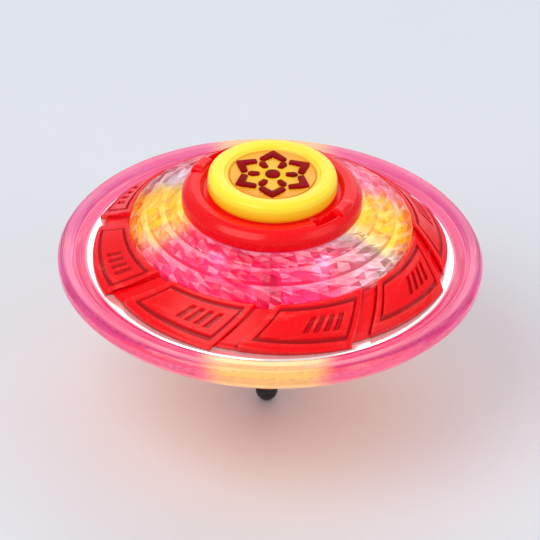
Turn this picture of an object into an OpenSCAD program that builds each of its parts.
// Light-up battle spinning top, in millimetres.
// +Z is up along the spin axis. The origin is the foot of the tip, where the top touches the arena floor.
// The wings of the core frame lie along the X axis, and -Y is the front.

/* [Overall] */
// Height from the foot of the tip to the crest of the cap
total_h = 46.8; // [46.7:0.05:47.1]
// Outer radius of the light ring
light_ring_r = 36.2; // [35.8:0.1:38]
// Outer radius of the steel weight ring
weight_ring_r = 31.4; // [31.2:0.1:31.6]
// Outer radius of the attack ring at the steep end of a blade
blade_r = 30.9; // [30.4:0.1:31.1]
// Outer radius of the clear dome
dome_r = 24; // [23.8:0.05:24.05]
// Radius of the collar's round wall, which the launcher's cup slides over
collar_r = 15.3; // [15.25:0.05:15.6]
// Radius of the cap
cap_r = 11; // [10.6:0.1:11.2]

/* [Attack ring] */
// Number of blades
blade_count = 8; // [6:1:9]
// Angle that one blade covers
blade_angle = 37; // [30:1:38]
// Angle of the first blade's steep end, from +X
blade_start = 27; // [0:1:44]
// How far a blade stands above the ring's own surface
blade_rise = 1; // [0.6:0.1:1.2]
// Angle that a blade's side sweeps back from the rim to the dome
blade_sweep = 13; // [4:1:16]

/* [Tip] */
// Radius of the tip's ball end
tip_ball_r = 1.9; // [1.5:0.1:2.2]
// Radius of the steel axle that the tip is pressed on
axle_r = 1; // [0.9:0.05:1.1]
// Radial clearance of the axle in its bush, and of the cap on its screw
run_gap = 0.04; // [0.02:0.01:0.08]

/* [Lights] */
// Number of lamps
led_count = 3; // [3:1:3]
// Radius of a lamp's body
led_r = 1.5; // [1.4:0.05:1.55]
// Distance of the lamps from the axis
led_at = 10.5; // [10.4:0.1:10.8]

/* [Power] */
// Radius of a button cell
cell_r = 5.8; // [5.6:0.1:5.8]
// Thickness of a button cell
cell_h = 3.1; // [3.1:0.1:3.1]
// Number of cells in the stack
cell_count = 3; // [3:1:3]

/* [Spin switch] */
// How far a weight slides outwards before it meets its contact
switch_travel = 1.2; // [0.8:0.1:1.3]

/* [Launcher coupling] */
// Angle of the first of the two launcher slots, from +X
slot_start = 145; // [120:5:160]

/* [Hidden] */
$fn = 96;

seat_gap = 0.02;      // around a piece that is pressed or seated in another
clear_gap = 0.1;      // around a piece that is dropped in
eps = 0.01;           // how far a cutter runs past the face that it opens

// Screws
screw_r = 0.95;
pilot_r = 1;
hole_r = 1.05;
screw_head_r = 1.75;
screw_head_h = 1.2;
recess_w = 0.5;
recess_l = 2;
recess_depth = 0.6;

// Cone that the nose and the lower housing share: it widens by 1 for each 1 it rises
nose_bottom_z = 6.8;
nose_foot_r = 7;
nose_top_z = 13.6;
function cone_r(z) = nose_foot_r + z - nose_bottom_z;
function cone_z(r) = nose_bottom_z + r - nose_foot_r;

// Tip and its bearing
tip_top_z = 6.1;
tip_shoulder_r = 2.9;
axle_foot_z = 2.2;
axle_top_z = 12.9;
bush_flange_z = 6.2;
bush_flange_top_z = 6.9;
bush_flange_r = 3.1;
bush_r = 2;
bush_top_z = 11.6;
washer_h = 0.3;
clip_z = 12;
clip_h = 0.4;
clip_r = 2;
clip_groove_r = 0.72;
nose_pocket_r = 2.5;

// Driver nose
spigot_r = 5.9;
spigot_top_z = 14.6;
nose_screw_at = 9.4;
nose_screw_first = 90;
nose_seat_z = 12.3;
nose_screw_top_z = 18.3;
counterbore_r = 1.9;

// Lower housing
wall = 1.4;
cell_tube_r = 6;
cell_tube_outer_r = 7.2;
cell_tube_top_z = 25;
housing_floor_z = 15.2;
flange_z = 25.4;
flange_top_z = 26.4;
flange_r = 27.8;
lip_outer_r = 23.5;
lip_inner_r = 22.5;
lip_top_z = 29.8;
pillar_r = 2.4;
pillar_top_z = 19.4;
body_screw_at = 19.4;
body_screw_first = 30;
body_tube_r = 2.8;
body_tube_top_z = 31.4;
body_seat_z = 25.2;
body_well_r = 2.15;
body_screw_top_z = 35.2;
board_post_at = 12.6;
board_post_angles = [45, 135, 270];
board_post_r = 1.7;
board_screw_r = 0.75;
board_screw_foot_z = 22.4;
board_head_r = 1.4;
board_head_h = 0.8;

// Rings that are stacked on the housing's flange
ring_inner_r = 23.6;
light_ring_floor_z = 27.5;
ring_stack_z = 30;

// Circuit board
board_r = 15.6;
board_z = 26.6;
board_top_z = 27.6;

// Lamps
led_first = 90;
led_flange_r = 1.9;
led_flange_z = 29;
led_flange_h = 0.9;
led_body_top_z = 32.9;
led_leg_w = 0.5;
led_leg_pitch = 2.54;
led_leg_foot_z = 26;

// Battery contacts
contact_h = 0.2;
cells_z = 16;
cells_top_z = cells_z + cell_count * cell_h;
strip_angle = 235;
strip_w = 1.6;
strip_in_r = 6.15;
strip_out_r = 6.4;
strip_top_z = 28;
coil_wire_r = 0.2;

// Spin switch, with x along the way that the weight slides
switch_in_x = 4.4;
switch_out_x = 14.2;
switch_half_w = 2.1;
switch_rail_half_w = 1.5;
switch_base_h = 0.6;
switch_rail_top_z = 30.4;
weight_in_x = 5.25;
weight_out_x = 8.6;
weight_half_w = 1.3;
weight_z = 28.3;
weight_h = 2;
post_in_x = 13.1;
post_out_x = 13.9;
contact_pin_r = 0.4;
switch_axis_z = 29.3;
switch_coil_r = 0.75;
switch_wire_r = 0.13;

// Reflector
reflector_z = 31.4;
reflector_h = 0.8;
reflector_in_r = 4.4;
reflector_rim_r = 21.7;
reflector_out_r = 22.3;
reflector_rim_z = 34.6;
flute_count = 36;

// Attack ring: its middle surface falls by attack_slope for each 1 outwards
attack_in_r = 22.6;
attack_base_r = 29.6;
attack_slope = 0.873;
attack_foot_h = 0.6;
blade_inner_r = 24.3;
blade_drop = 1.1;     // how much nearer the axis a blade's rim is at its shallow end
pocket_inset = 1.1;
pocket_depth = 0.5;
pocket_ramp = 10;     // angle between a pocket and its blade's steep end
function attack_z(r) = 36.2 - attack_slope * (r - dome_r + 0.1);

// Clear dome
dome_seat_z = 35;
dome_rim_in_r = 22.7;
dome_top_in_r = 13.4;
dome_under_z = 39.2;
dome_in_r = 15;
function dome_under(r) = dome_under_z - 0.1 - 0.4545 * (r - dome_in_r);

// Core frame
core_top_z = 40.6;
core_plate_z = 37.9;
core_plate_r = 14.8;
core_boss_r = 13.3;
core_post_r = 4;
core_post_z = 33;
wing_half_angle = 24;
wing_outer_r = 21.4;
wing_h = 1.4;
wing_gap = 0.4;
core_screw_boss_r = 2.3;
core_screw_boss_top_z = 35.4;
rib_w = 2.4;
rib_z = 34;

// Collar
collar_round = 1.5;
collar_wall_top_z = 42.4;
collar_floor_z = 43;
collar_floor_r = 11.7;
collar_top_in_r = 12.2;
collar_top_z = collar_wall_top_z + collar_round;
collar_screw_at = 8.2;
collar_screw_first = 30;
collar_seat_z = 42;
collar_screw_foot_z = 38.1;
slot_in_r = 12.35;
slot_out_r = 14;
slot_floor_z = 41.8;
slot_open_angle = 22;
slot_hooked_angle = 18;
ledge_h = 0.8;
lug_rise = 0.6;
lug_out_r = 14.5;

// Cap
cap_skirt_z = 43.4;
cap_skirt_in_r = 9.6;
cap_hub_r = 3.6;
cap_hub_z = 43.3;
cap_web_z = 44;
cap_well_r = 3.2;
cap_well_z = 44.6;
cap_floor_z = 45.75;
cap_recess_r = 7.3;
cap_bead_in_r = 8.3;
cap_edge = 0.9;
shoulder_r = 1.5;
shoulder_top_z = 44.65;
cap_head_r = 2.9;
cap_head_top_z = 45.6;
cap_thread_foot_z = 36.6;
cap_washer_h = 0.25;
cap_washer_r = 3.2;
emblem_r = 7.2;
emblem_back_top_z = 46.1;
emblem_top_z = 46.45;
mark_gap = 0.03;
chevron_tip_r = 6.2;
chevron_root_r = 4.1;
chevron_w = 1.15;
chevron_half_angle = 23;
bar_in_r = 2.1;
bar_out_r = 3.6;
bar_half_w = 0.5;
hub_mark_r = 1.1;
mark_count = 6;

// ---- Helpers ----

// Points of an arc about c, from angle a0 to angle a1, in n steps
function arc(c, r, a0, a1, n = 6) =
    [for (i = [0:n]) let (a = a0 + (a1 - a0) * i / n) [c[0] + r * cos(a), c[1] + r * sin(a)]];

// A solid of revolution from (radius, height) points
module spun(points, angle = 360) rotate_extrude(angle = angle) polygon(points);

// A washer or tube
module tube(r_out, r_in, z0, z1) spun([[r_in, z0], [r_out, z0], [r_out, z1], [r_in, z1]]);

// A solid cylinder between two heights
module rod(r, z0, z1) translate([0, 0, z0]) cylinder(r = r, h = z1 - z0);

// Copies round the axis, the first at angle first
module around(n, first = 0) for (i = [0:n - 1]) rotate([0, 0, first + i * 360 / n]) children();

// Copies at each of the angles, at distance r from the axis
module at_angles(angles, r) for (a = angles) rotate([0, 0, a]) translate([r, 0, 0]) children();

// A box between two corners
module block(low, high) translate(low) cube(high - low);

// A cross-head recess that opens downwards at height z
module cross_recess(z, depth = recess_depth) translate([0, 0, z + depth / 2]) {
    cube([recess_l, recess_w, depth + 2 * eps], center = true);
    cube([recess_w, recess_l, depth + 2 * eps], center = true);
}

// A pan-head screw whose head hangs below seat_z and whose shank rises to top_z
module screw_up(seat_z, top_z) difference() {
    union() {
        rod(screw_head_r, seat_z - screw_head_h, seat_z);
        rod(screw_r, seat_z - eps, top_z);
    }
    cross_recess(seat_z - screw_head_h);
}

// A helix of round wire about Z: radius goes from r0 to r1 while height goes from z0 to z1
module coil(r0, r1, z0, z1, turns, wire_r, steps = 16, sides = 6) {
    rings = turns * steps;
    points = [for (i = [0:rings], k = [0:sides - 1])
        let (t = i / rings, a = 360 * i / steps, b = 360 * k / sides,
            r = r0 + (r1 - r0) * t + wire_r * cos(b))
        [r * cos(a), r * sin(a), z0 + (z1 - z0) * t + wire_r * sin(b)]];
    walls = [for (i = [0:rings - 1], k = [0:sides - 1])
        let (n = (k + 1) % sides, p = i * sides, q = p + sides)
        each [[p + k, q + k, q + n], [p + k, q + n, p + n]]];
    first_end = [[for (k = [0:sides - 1]) k]];
    last_end = [[for (k = [sides - 1:-1:0]) rings * sides + k]];
    polyhedron(points, concat(walls, first_end, last_end), convexity = 10);
}

// ---- Tip, which turns in its bush ----

module tip_point() color("#1c1c1e") spun(concat(
    [[0, axle_foot_z], [0, 0]],
    arc([0, tip_ball_r], tip_ball_r, -84, -12, 8),
    [[2.2, 3.4], [tip_shoulder_r, 4.6], [tip_shoulder_r, tip_top_z - 0.3],
        [tip_shoulder_r - 0.3, tip_top_z], [axle_r + seat_gap, tip_top_z],
        [axle_r + seat_gap, axle_foot_z]]));

module tip_axle() color("#b9bcc2") spun([
    [0, axle_foot_z + seat_gap], [axle_r, axle_foot_z + seat_gap],
    [axle_r, clip_z - seat_gap], [clip_groove_r, clip_z - seat_gap],
    [clip_groove_r, clip_z + clip_h + seat_gap], [axle_r, clip_z + clip_h + seat_gap],
    [axle_r, axle_top_z - 0.2], [axle_r - 0.2, axle_top_z], [0, axle_top_z]]);

module tip_washer() color("#d8d3c4")
    tube(bush_r, axle_r + run_gap, bush_top_z + 0.05, bush_top_z + 0.05 + washer_h);

module tip_clip() color("#6d7076") difference() {
    tube(clip_r, clip_groove_r + seat_gap, clip_z, clip_z + clip_h);
    linear_extrude(height = 20) polygon([[0, 0], [2 * clip_r, -1.3], [2 * clip_r, 1.3]]);
    at_angles([125, 235], 1.35) rod(0.3, clip_z - eps, clip_z + clip_h + eps);
}

module tip_bush() color("#b98a4a") spun([
    [axle_r + run_gap, bush_flange_z], [bush_flange_r, bush_flange_z],
    [bush_flange_r, bush_flange_top_z], [bush_r, bush_flange_top_z],
    [bush_r, bush_top_z], [axle_r + run_gap, bush_top_z]]);

// ---- Driver nose, the battery door that carries the tip ----

module driver_nose() color("#f28a1e") difference() {
    spun([
        [bush_r + seat_gap, bush_flange_top_z + seat_gap],
        [bush_flange_r + seat_gap, bush_flange_top_z + seat_gap],
        [bush_flange_r + seat_gap, nose_bottom_z - 0.2], [nose_foot_r - 0.9, nose_bottom_z - 0.2],
        [nose_foot_r - 0.2, nose_bottom_z], [cone_r(nose_top_z - 0.5), nose_top_z - 0.5],
        [cone_r(nose_top_z - 0.5), nose_top_z],
        [spigot_r, nose_top_z], [spigot_r, spigot_top_z], [nose_pocket_r, spigot_top_z],
        [nose_pocket_r, bush_top_z - 0.4], [bush_r + seat_gap, bush_top_z - 0.4]]);
    around(3, nose_screw_first) translate([nose_screw_at, 0, 0]) {
        rod(counterbore_r, 0, nose_seat_z);
        rod(hole_r, 0, spigot_top_z);
    }
}

module nose_screws() color("#a9adb3") around(3, nose_screw_first)
    translate([nose_screw_at, 0, 0]) screw_up(nose_seat_z, nose_screw_top_z);

// ---- Lower housing ----

housing_inner_drop = wall * sqrt(2);

module housing_shell() spun([
    [cell_tube_r, nose_top_z], [cone_r(nose_top_z), nose_top_z],
    [cone_r(flange_z), flange_z], [flange_r, flange_z],
    [flange_r, flange_top_z], [lip_outer_r, flange_top_z],
    [lip_outer_r, lip_top_z], [lip_inner_r, lip_top_z],
    [lip_inner_r, cone_z(lip_inner_r) + housing_inner_drop],
    [cone_r(housing_floor_z) - housing_inner_drop, housing_floor_z],
    [cell_tube_outer_r, housing_floor_z], [cell_tube_outer_r, cell_tube_top_z],
    [cell_tube_r, cell_tube_top_z]]);

// Everything inside the outer cone, to trim what stands on it
module housing_envelope() spun([
    [0, nose_top_z], [cone_r(nose_top_z), nose_top_z],
    [cone_r(flange_z), flange_z], [cone_r(flange_z), body_tube_top_z], [0, body_tube_top_z]]);

module lower_housing() color("#ffd9a8", 0.85) difference() {
    union() {
        housing_shell();
        intersection() {
            housing_envelope();
            around(3, body_screw_first) translate([body_screw_at, 0, 0])
                rod(body_tube_r, nose_top_z, body_tube_top_z + 1);
        }
        around(3, nose_screw_first) translate([nose_screw_at, 0, 0])
            rod(pillar_r, nose_top_z + 0.4, pillar_top_z);
        at_angles(board_post_angles, board_post_at)
            rod(board_post_r, nose_top_z + 0.8, board_z);
    }
    around(3, body_screw_first) translate([body_screw_at, 0, 0]) {
        rod(body_well_r, nose_top_z - 1, body_seat_z);
        rod(hole_r, body_seat_z - 1, body_tube_top_z + 1);
    }
    around(3, nose_screw_first) translate([nose_screw_at, 0, 0])
        rod(pilot_r, nose_top_z - 1, nose_screw_top_z + 0.2);
    at_angles(board_post_angles, board_post_at)
        rod(board_screw_r + 0.05, board_screw_foot_z - 0.2, board_z + 1);
    rotate([0, 0, strip_angle])
        block([cell_tube_r - 0.5, -strip_w / 2 - 0.2, nose_top_z - 1],
            [strip_out_r + 0.15, strip_w / 2 + 0.2, cell_tube_top_z + 1]);
}

module housing_screws() color("#a9adb3") around(3, body_screw_first)
    translate([body_screw_at, 0, 0]) screw_up(body_seat_z, body_screw_top_z);

// ---- Rings ----

module light_ring() color("#ff8fc4", 0.8) spun(concat(
    [[ring_inner_r, flange_top_z], [33, flange_top_z]],
    arc([light_ring_r - 2.4, 28.9], 2.4, -62, 46, 9),
    [[33.9, 30.7], [33.5, 30.3], [33.1, 30.2], [weight_ring_r + 0.12, ring_stack_z],
        [weight_ring_r + 0.12, light_ring_floor_z], [ring_inner_r, light_ring_floor_z]]));

module weight_ring() color("#e3e5ea") spun([
    [ring_inner_r, light_ring_floor_z], [weight_ring_r, light_ring_floor_z],
    [weight_ring_r, ring_stack_z - 0.3], [weight_ring_r - 0.3, ring_stack_z],
    [ring_inner_r, ring_stack_z]]);

module attack_base() spun([
    [attack_in_r, ring_stack_z], [25, ring_stack_z], [25, 33.2], [28, 30.6], [28, ring_stack_z],
    [attack_base_r, ring_stack_z], [attack_base_r, ring_stack_z + attack_foot_h],
    [dome_r + 0.1, attack_z(dome_r + 0.1) - blade_rise / 2], [dome_r + 0.1, dome_seat_z],
    [attack_in_r, dome_seat_z]]);

// A full ring as high as the blades, which the blades are cut from
module blade_blank() spun([
    [blade_inner_r - 0.1, attack_z(blade_inner_r) - 1.5], [28.6, 30.4], [28.6, ring_stack_z],
    [blade_r + 0.4, ring_stack_z], [blade_r + 0.4, attack_z(blade_r + 0.4) + blade_rise / 2],
    [blade_inner_r - 0.1, attack_z(blade_inner_r - 0.1) + blade_rise / 2]]);

// The layer that is taken out of the blades' tops to make their pockets
module pocket_layer() spun([
    [blade_inner_r + 0.5, attack_z(blade_inner_r + 0.5) + blade_rise / 2 - pocket_depth],
    [blade_r, attack_z(blade_r) + blade_rise / 2 - pocket_depth],
    [blade_r, attack_z(blade_r) + blade_rise / 2 + 1],
    [blade_inner_r + 0.5, attack_z(blade_inner_r + 0.5) + blade_rise / 2 + 1]]);

// Outline of one blade, seen from above: its steep end is at angle 0
function blade_outline(inset = 0, start = 0) = let (
    edge = inset * 2,
    first = -start - edge,
    run = edge * 2 + start - blade_angle,
    in_r = blade_inner_r + inset,
    rim = [for (i = [0:6]) let (a = first + run * i / 6,
            r = blade_r - inset + blade_drop * a / blade_angle)
        [r * cos(a), r * sin(a)]],
    root = [for (i = [5:-1:0]) let (a = first + blade_sweep + run * i / 5)
        [in_r * cos(a), in_r * sin(a)]])
    concat(rim, root);

module blade_prisms(inset = 0, start = 0) around(blade_count, blade_start)
    translate([0, 0, 25]) linear_extrude(height = 20) polygon(blade_outline(inset, start));

module attack_ring() color("#e8121a") difference() {
    union() {
        attack_base();
        intersection() {
            blade_blank();
            blade_prisms();
        }
    }
    intersection() {
        pocket_layer();
        blade_prisms(pocket_inset, pocket_ramp);
    }
}

// ---- Dome, core frame and reflector ----

module clear_dome() color("#ffd2e6", 0.5) spun([
    [dome_top_in_r, dome_under_z], [dome_in_r, dome_under_z],
    [dome_rim_in_r, dome_under(dome_rim_in_r)], [dome_rim_in_r, dome_seat_z],
    [dome_r, dome_seat_z], [dome_r, 36.3], [23.4, 36.9], [20.9, 37.7], [20.6, 38.2],
    [17.9, 39.3], [17.6, 39.7], [collar_r - 0.1, core_top_z], [dome_top_in_r, core_top_z]]);

module wing() difference() {
    rotate([0, 0, -wing_half_angle]) spun([
        [12, core_plate_z - 1.2], [12, core_plate_z + 0.5], [14, core_plate_z + 0.5],
        [dome_in_r, dome_under(dome_in_r) - wing_gap],
        [wing_outer_r, dome_under(wing_outer_r) - wing_gap],
        [wing_outer_r, dome_under(wing_outer_r) - wing_gap - wing_h],
        [dome_in_r, dome_under(dome_in_r) - wing_gap - wing_h - 0.6]],
        2 * wing_half_angle);
    for (a = [-12, 0, 12]) rotate([0, 0, a])
        block([17, -0.6, 30], [wing_outer_r - 1.4, 0.6, 45]);
}

module core_rib() rotate([90, 0, 0]) translate([0, 0, -rib_w / 2])
    linear_extrude(height = rib_w) polygon([
        [core_post_r - 0.5, rib_z], [body_screw_at, rib_z], [body_screw_at, core_screw_boss_top_z],
        [17, 36.6], [14.5, core_plate_z + 0.2], [core_post_r - 0.5, core_plate_z + 0.2]]);

module core_frame() color("#f6d21a") difference() {
    union() {
        spun([
            [0, core_post_z], [core_post_r, core_post_z], [core_post_r, core_plate_z],
            [core_plate_r, core_plate_z], [core_plate_r, dome_under_z],
            [core_boss_r, dome_under_z], [core_boss_r, core_top_z], [0, core_top_z]]);
        around(2) wing();
        around(3, body_screw_first) {
            core_rib();
            translate([body_screw_at, 0, 0])
                rod(core_screw_boss_r, reflector_z + reflector_h, core_screw_boss_top_z);
        }
    }
    around(3, body_screw_first) translate([body_screw_at, 0, 0])
        rod(pilot_r, 30, core_screw_boss_top_z + 2);
    around(3, collar_screw_first) translate([collar_screw_at, 0, 0])
        rod(pilot_r, core_plate_z - 1, core_top_z + 1);
    rod(pilot_r, cap_thread_foot_z - 0.2, core_top_z + 1);
}

module reflector() color("#eef0f4") difference() {
    union() {
        spun([
            [reflector_in_r, reflector_z], [reflector_out_r, reflector_z],
            [reflector_out_r, reflector_rim_z], [reflector_rim_r, reflector_rim_z],
            [reflector_rim_r, reflector_z + reflector_h],
            [reflector_in_r, reflector_z + reflector_h]]);
        for (i = [0:flute_count - 1]) let (a = i * 360 / flute_count)
            if (abs(((a - body_screw_first + 60) % 120) - 60) > 9)
                rotate([0, 0, a]) rotate([90, 0, 90])
                    translate([0, 0, 13.5]) linear_extrude(height = reflector_rim_r - 13.3)
                        polygon([[-0.7, reflector_z + 0.4], [0.7, reflector_z + 0.4],
                            [0, reflector_z + reflector_h + 0.5]]);
    }
    around(led_count, led_first) translate([led_at, 0, 0])
        rod(led_r + clear_gap, reflector_z - 1, reflector_rim_z);
    around(3, body_screw_first) translate([body_screw_at, 0, 0])
        rod(hole_r, reflector_z - 1, reflector_rim_z);
}

// ---- Collar ----

module slot_sector(r0, r1, z0, z1, a0, a1)
    rotate([0, 0, a0]) spun([[r0, z0], [r1, z0], [r1, z1], [r0, z1]], a1 - a0);

module lock_collar() color("#e01018") difference() {
    union() {
        spun(concat(
            [[hole_r, core_top_z], [collar_r, core_top_z]],
            arc([collar_r - collar_round, collar_wall_top_z], collar_round, 0, 90),
            [[collar_top_in_r, collar_top_z], [collar_floor_r, collar_top_z - 0.5],
                [collar_floor_r, collar_floor_z], [hole_r, collar_floor_z]]));
        around(2, slot_start) rotate([0, 0, 0.5]) spun([
            [collar_top_in_r, collar_wall_top_z], [lug_out_r, collar_wall_top_z],
            [lug_out_r, collar_top_z + lug_rise - 0.5], [lug_out_r - 0.5, collar_top_z + lug_rise],
            [collar_top_in_r + 0.2, collar_top_z + lug_rise],
            [collar_top_in_r, collar_top_z + lug_rise - 0.2]], slot_hooked_angle - 1);
    }
    around(2, slot_start) {
        slot_sector(slot_in_r, slot_out_r, slot_floor_z, collar_top_z + 2, -slot_open_angle, 0);
        slot_sector(slot_in_r, slot_out_r, slot_floor_z, collar_top_z - ledge_h,
            -1, slot_hooked_angle - 2);
    }
    around(3, collar_screw_first) translate([collar_screw_at, 0, 0]) {
        rod(screw_head_r + clear_gap, collar_seat_z, collar_floor_z + 1);
        rod(hole_r, core_top_z - 1, collar_floor_z + 1);
    }
}

module collar_screws() color("#a9adb3") around(3, collar_screw_first)
    translate([collar_screw_at, 0, 0]) difference() {
        union() {
            rod(screw_head_r, collar_seat_z, collar_floor_z);
            rod(screw_r, collar_screw_foot_z, collar_seat_z + eps);
        }
        cross_recess(collar_floor_z - recess_depth);
    }

// ---- Cap, which turns on its shoulder screw ----

module cap_shell() color("#f8d90f") spun(concat(
    [[shoulder_r + run_gap, cap_hub_z], [cap_hub_r, cap_hub_z], [cap_hub_r, cap_web_z],
        [cap_skirt_in_r, cap_web_z], [cap_skirt_in_r, cap_skirt_z],
        [cap_r - 0.3, cap_skirt_z], [cap_r, cap_skirt_z + 0.3]],
    arc([cap_r - cap_edge, total_h - cap_edge], cap_edge, 0, 90, 5),
    [[cap_bead_in_r + 0.4, total_h], [cap_bead_in_r, total_h - 0.3],
        [cap_recess_r, total_h - 0.4], [cap_recess_r, cap_floor_z],
        [cap_well_r, cap_floor_z], [cap_well_r, cap_well_z],
        [shoulder_r + run_gap, cap_well_z]]));

module cap_screw() color("#a9adb3") difference() {
    union() {
        rod(screw_r, cap_thread_foot_z, collar_floor_z + eps);
        rod(shoulder_r, collar_floor_z, shoulder_top_z);
        rod(cap_head_r, shoulder_top_z - eps, cap_head_top_z);
    }
    cross_recess(cap_head_top_z - recess_depth);
}

module cap_washer() color("#d8d3c4")
    tube(cap_washer_r, shoulder_r + run_gap, collar_floor_z, collar_floor_z + cap_washer_h);

// One chevron of the emblem, with its point outwards along +X
module chevron(grow) {
    arm = [chevron_root_r * cos(chevron_half_angle), chevron_root_r * sin(chevron_half_angle)];
    half = chevron_w / 2 + grow;
    for (side = [1, -1]) {
        run = [chevron_tip_r - chevron_w, 0] - [arm[0], side * arm[1]];
        along = run / norm(run);
        across = [-along[1], along[0]] * half;
        foot = [arm[0], side * arm[1]] - along * grow;
        point = [chevron_tip_r - chevron_w, 0] + along * (chevron_w / 2 + grow);
        polygon([foot - across, point - across, point + across, foot + across]);
    }
}

module emblem_marks(grow = 0) {
    circle(hub_mark_r + grow);
    around(mark_count, 30) {
        chevron(grow);
        rotate([0, 0, 180 / mark_count]) translate([bar_in_r - grow, -bar_half_w - grow])
            square([bar_out_r - bar_in_r + 2 * grow, 2 * (bar_half_w + grow)]);
    }
}

module emblem_backing() color("#8c1216") union() {
    rod(emblem_r, cap_floor_z, emblem_back_top_z);
    translate([0, 0, emblem_back_top_z - eps])
        linear_extrude(height = emblem_top_z - emblem_back_top_z - 0.08) emblem_marks();
}

module emblem_plate() color("#fbb92a") difference() {
    rod(emblem_r, emblem_back_top_z, emblem_top_z);
    translate([0, 0, emblem_back_top_z - 1]) linear_extrude(height = 3) emblem_marks(mark_gap);
}

// ---- Circuit board and what is soldered to it ----

module circuit_board() color("#1f7a43") difference() {
    rod(board_r, board_z, board_top_z);
    at_angles(board_post_angles, board_post_at) rod(0.9, board_z - 1, board_top_z + 1);
    around(led_count, led_first) for (side = [1, -1])
        translate([led_at, side * led_leg_pitch / 2, 0]) rod(0.4, board_z - 1, board_top_z + 1);
    rotate([0, 0, strip_angle])
        block([strip_in_r - 0.15, -strip_w / 2 - 0.2, board_z - 1],
            [strip_out_r + 0.15, strip_w / 2 + 0.2, board_top_z + 1]);
    rod(0.95, board_z - 1, board_top_z + 1);
}

module board_screws() color("#a9adb3") at_angles(board_post_angles, board_post_at) difference() {
    union() {
        rod(board_screw_r, board_screw_foot_z, board_top_z + eps);
        rod(board_head_r, board_top_z, board_top_z + board_head_h);
    }
    cross_recess(board_top_z + board_head_h - 0.4, 0.4);
}

module led_lamps() color("#ff3b4e", 0.8) around(led_count, led_first)
    translate([led_at, 0, 0]) spun(concat(
        [[0, led_flange_z], [led_flange_r, led_flange_z],
            [led_flange_r, led_flange_z + led_flange_h], [led_r, led_flange_z + led_flange_h]],
        arc([0, led_body_top_z], led_r, 0, 84, 7),
        [[0, led_body_top_z + led_r]]));

module led_legs() color("#c9ccd2") around(led_count, led_first) for (side = [1, -1])
    translate([led_at, side * led_leg_pitch / 2, (led_leg_foot_z + led_flange_z) / 2])
        cube([led_leg_w, led_leg_w, led_flange_z - led_leg_foot_z], center = true);

module resistors() color("#26262a") for (x = [-4.2, 0, 4.2])
    block([x - 0.8, 5, board_top_z], [x + 0.8, 8.2, board_top_z + 0.6]);

module timer_chip() color("#202024") {
    block([-2.5, -9.6, board_top_z + 0.1], [2.5, -6, board_top_z + 1.5]);
    for (x = [-1.9, -0.63, 0.63, 1.9], side = [1, -1])
        block([x - 0.2, -7.8 + side * 2.2 - 0.4, board_top_z],
            [x + 0.2, -7.8 + side * 2.2 + 0.4, board_top_z + 0.5]);
}

// ---- Cells and their contacts ----

module button_cells() color("#cfd2d6") for (i = [0:cell_count - 1])
    translate([0, 0, cells_z + i * cell_h]) spun([
        [0, 0], [cell_r - 1, 0], [cell_r - 0.8, 0.25], [cell_r - 0.4, 0.35], [cell_r, 0.6],
        [cell_r, cell_h - 0.2], [cell_r - 0.2, cell_h], [0, cell_h]]);

module positive_contact() color("#c9a24b") {
    translate([0, 1.2, 0]) rotate([90, 0, 0]) linear_extrude(height = 2.4) polygon([
        [-3, board_z], [-3, board_z - 0.25], [0.9, board_z - 0.25], [2.6, cells_top_z],
        [3.8, cells_top_z], [3.8, cells_top_z + 0.25], [2.75, cells_top_z + 0.25],
        [1.05, board_z]]);
    rod(0.85, board_z - 0.1, board_top_z + 0.6);
}

module negative_contact() color("#c9a24b") {
    tube(5.7, nose_pocket_r + 0.2, spigot_top_z, spigot_top_z + contact_h);
    rotate([0, 0, strip_angle]) {
        block([5, -strip_w / 2, spigot_top_z],
            [strip_out_r, strip_w / 2, spigot_top_z + contact_h]);
        block([strip_in_r, -strip_w / 2, spigot_top_z], [strip_out_r, strip_w / 2, strip_top_z]);
    }
}

module battery_spring() color("#c3c6cc")
    coil(4.8, 2.8, spigot_top_z + contact_h + coil_wire_r, cells_z - coil_wire_r, 2.5, coil_wire_r);

// ---- Spin switch: a weight that slides outwards onto a contact ----

module switch_frame() {
    block([switch_in_x, -switch_half_w, board_top_z],
        [switch_out_x, switch_half_w, board_top_z + switch_base_h]);
    for (side = [1, -1]) scale_y(side)
        block([switch_in_x, switch_rail_half_w, board_top_z],
            [post_in_x, switch_half_w, switch_rail_top_z]);
    block([switch_in_x, -switch_half_w, board_top_z],
        [weight_in_x - 0.05, switch_half_w, switch_rail_top_z]);
}

module scale_y(side) if (side > 0) children(); else mirror([0, 1, 0]) children();

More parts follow.
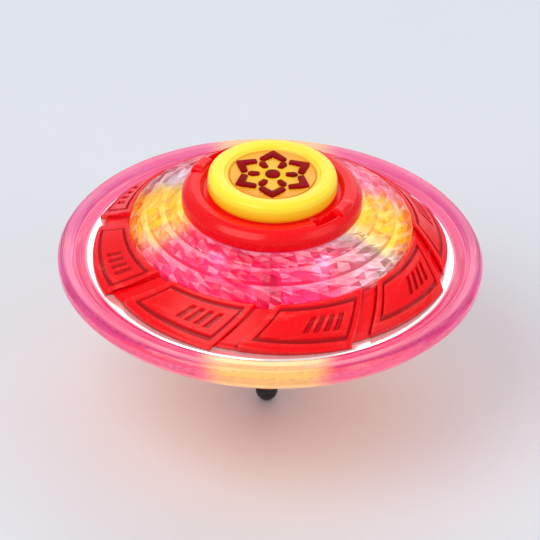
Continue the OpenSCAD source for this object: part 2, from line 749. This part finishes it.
module switch_cover() difference() {
    block([switch_in_x, -switch_half_w, switch_rail_top_z],
        [post_in_x, switch_half_w, switch_rail_top_z + 0.3]);
    block([weight_in_x + 1, -0.5, switch_rail_top_z - 1],
        [post_in_x - 1, 0.5, switch_rail_top_z + 1]);
}

module switch_contact() {
    block([post_in_x, -switch_rail_half_w + clear_gap, board_top_z + switch_base_h],
        [post_out_x, switch_rail_half_w - clear_gap, switch_rail_top_z]);
    translate([weight_out_x + switch_travel + 0.05, 0, switch_axis_z]) rotate([0, 90, 0])
        cylinder(r = contact_pin_r,
            h = post_in_x - weight_out_x - switch_travel - 0.05 + eps);
}

module spin_weight() difference() {
    block([weight_in_x, -weight_half_w, weight_z],
        [weight_out_x, weight_half_w, weight_z + weight_h]);
    translate([weight_in_x + 1.2, 0, weight_z + weight_h - 0.4]) cylinder(r = 0.6, h = 1);
}

module switch_spring() translate([0, 0, switch_axis_z]) rotate([0, 90, 0])
    coil(switch_coil_r, switch_coil_r, weight_out_x + switch_wire_r + seat_gap,
        post_in_x - switch_wire_r - seat_gap, 6, switch_wire_r);

module switch_frames() color("#2a2b30") around(2) switch_frame();
module switch_covers() color("#3a3b40") around(2) switch_cover();
module switch_contacts() color("#c9a24b") around(2) switch_contact();
module switch_spring_a() color("#c3c6cc") switch_spring();
module switch_spring_b() color("#c3c6cc") rotate([0, 0, 180]) switch_spring();
module spin_weight_a() color("#c79a3e") spin_weight();
module spin_weight_b() color("#c79a3e") rotate([0, 0, 180]) spin_weight();

// ---- Nodes ----

lock_collar();
collar_screws();
cap_screw();
cap_washer();
clear_dome();
core_frame();
reflector();
attack_ring();
weight_ring();
light_ring();
lower_housing();
housing_screws();
driver_nose();
nose_screws();
tip_bush();
circuit_board();
board_screws();
led_lamps();
led_legs();
resistors();
timer_chip();
positive_contact();
negative_contact();
battery_spring();
button_cells();
switch_frames();
switch_covers();
switch_contacts();
switch_spring_a();
switch_spring_b();
cap_shell();
emblem_backing();
emblem_plate();
tip_point();
tip_axle();
tip_washer();
tip_clip();
spin_weight_a();
spin_weight_b();
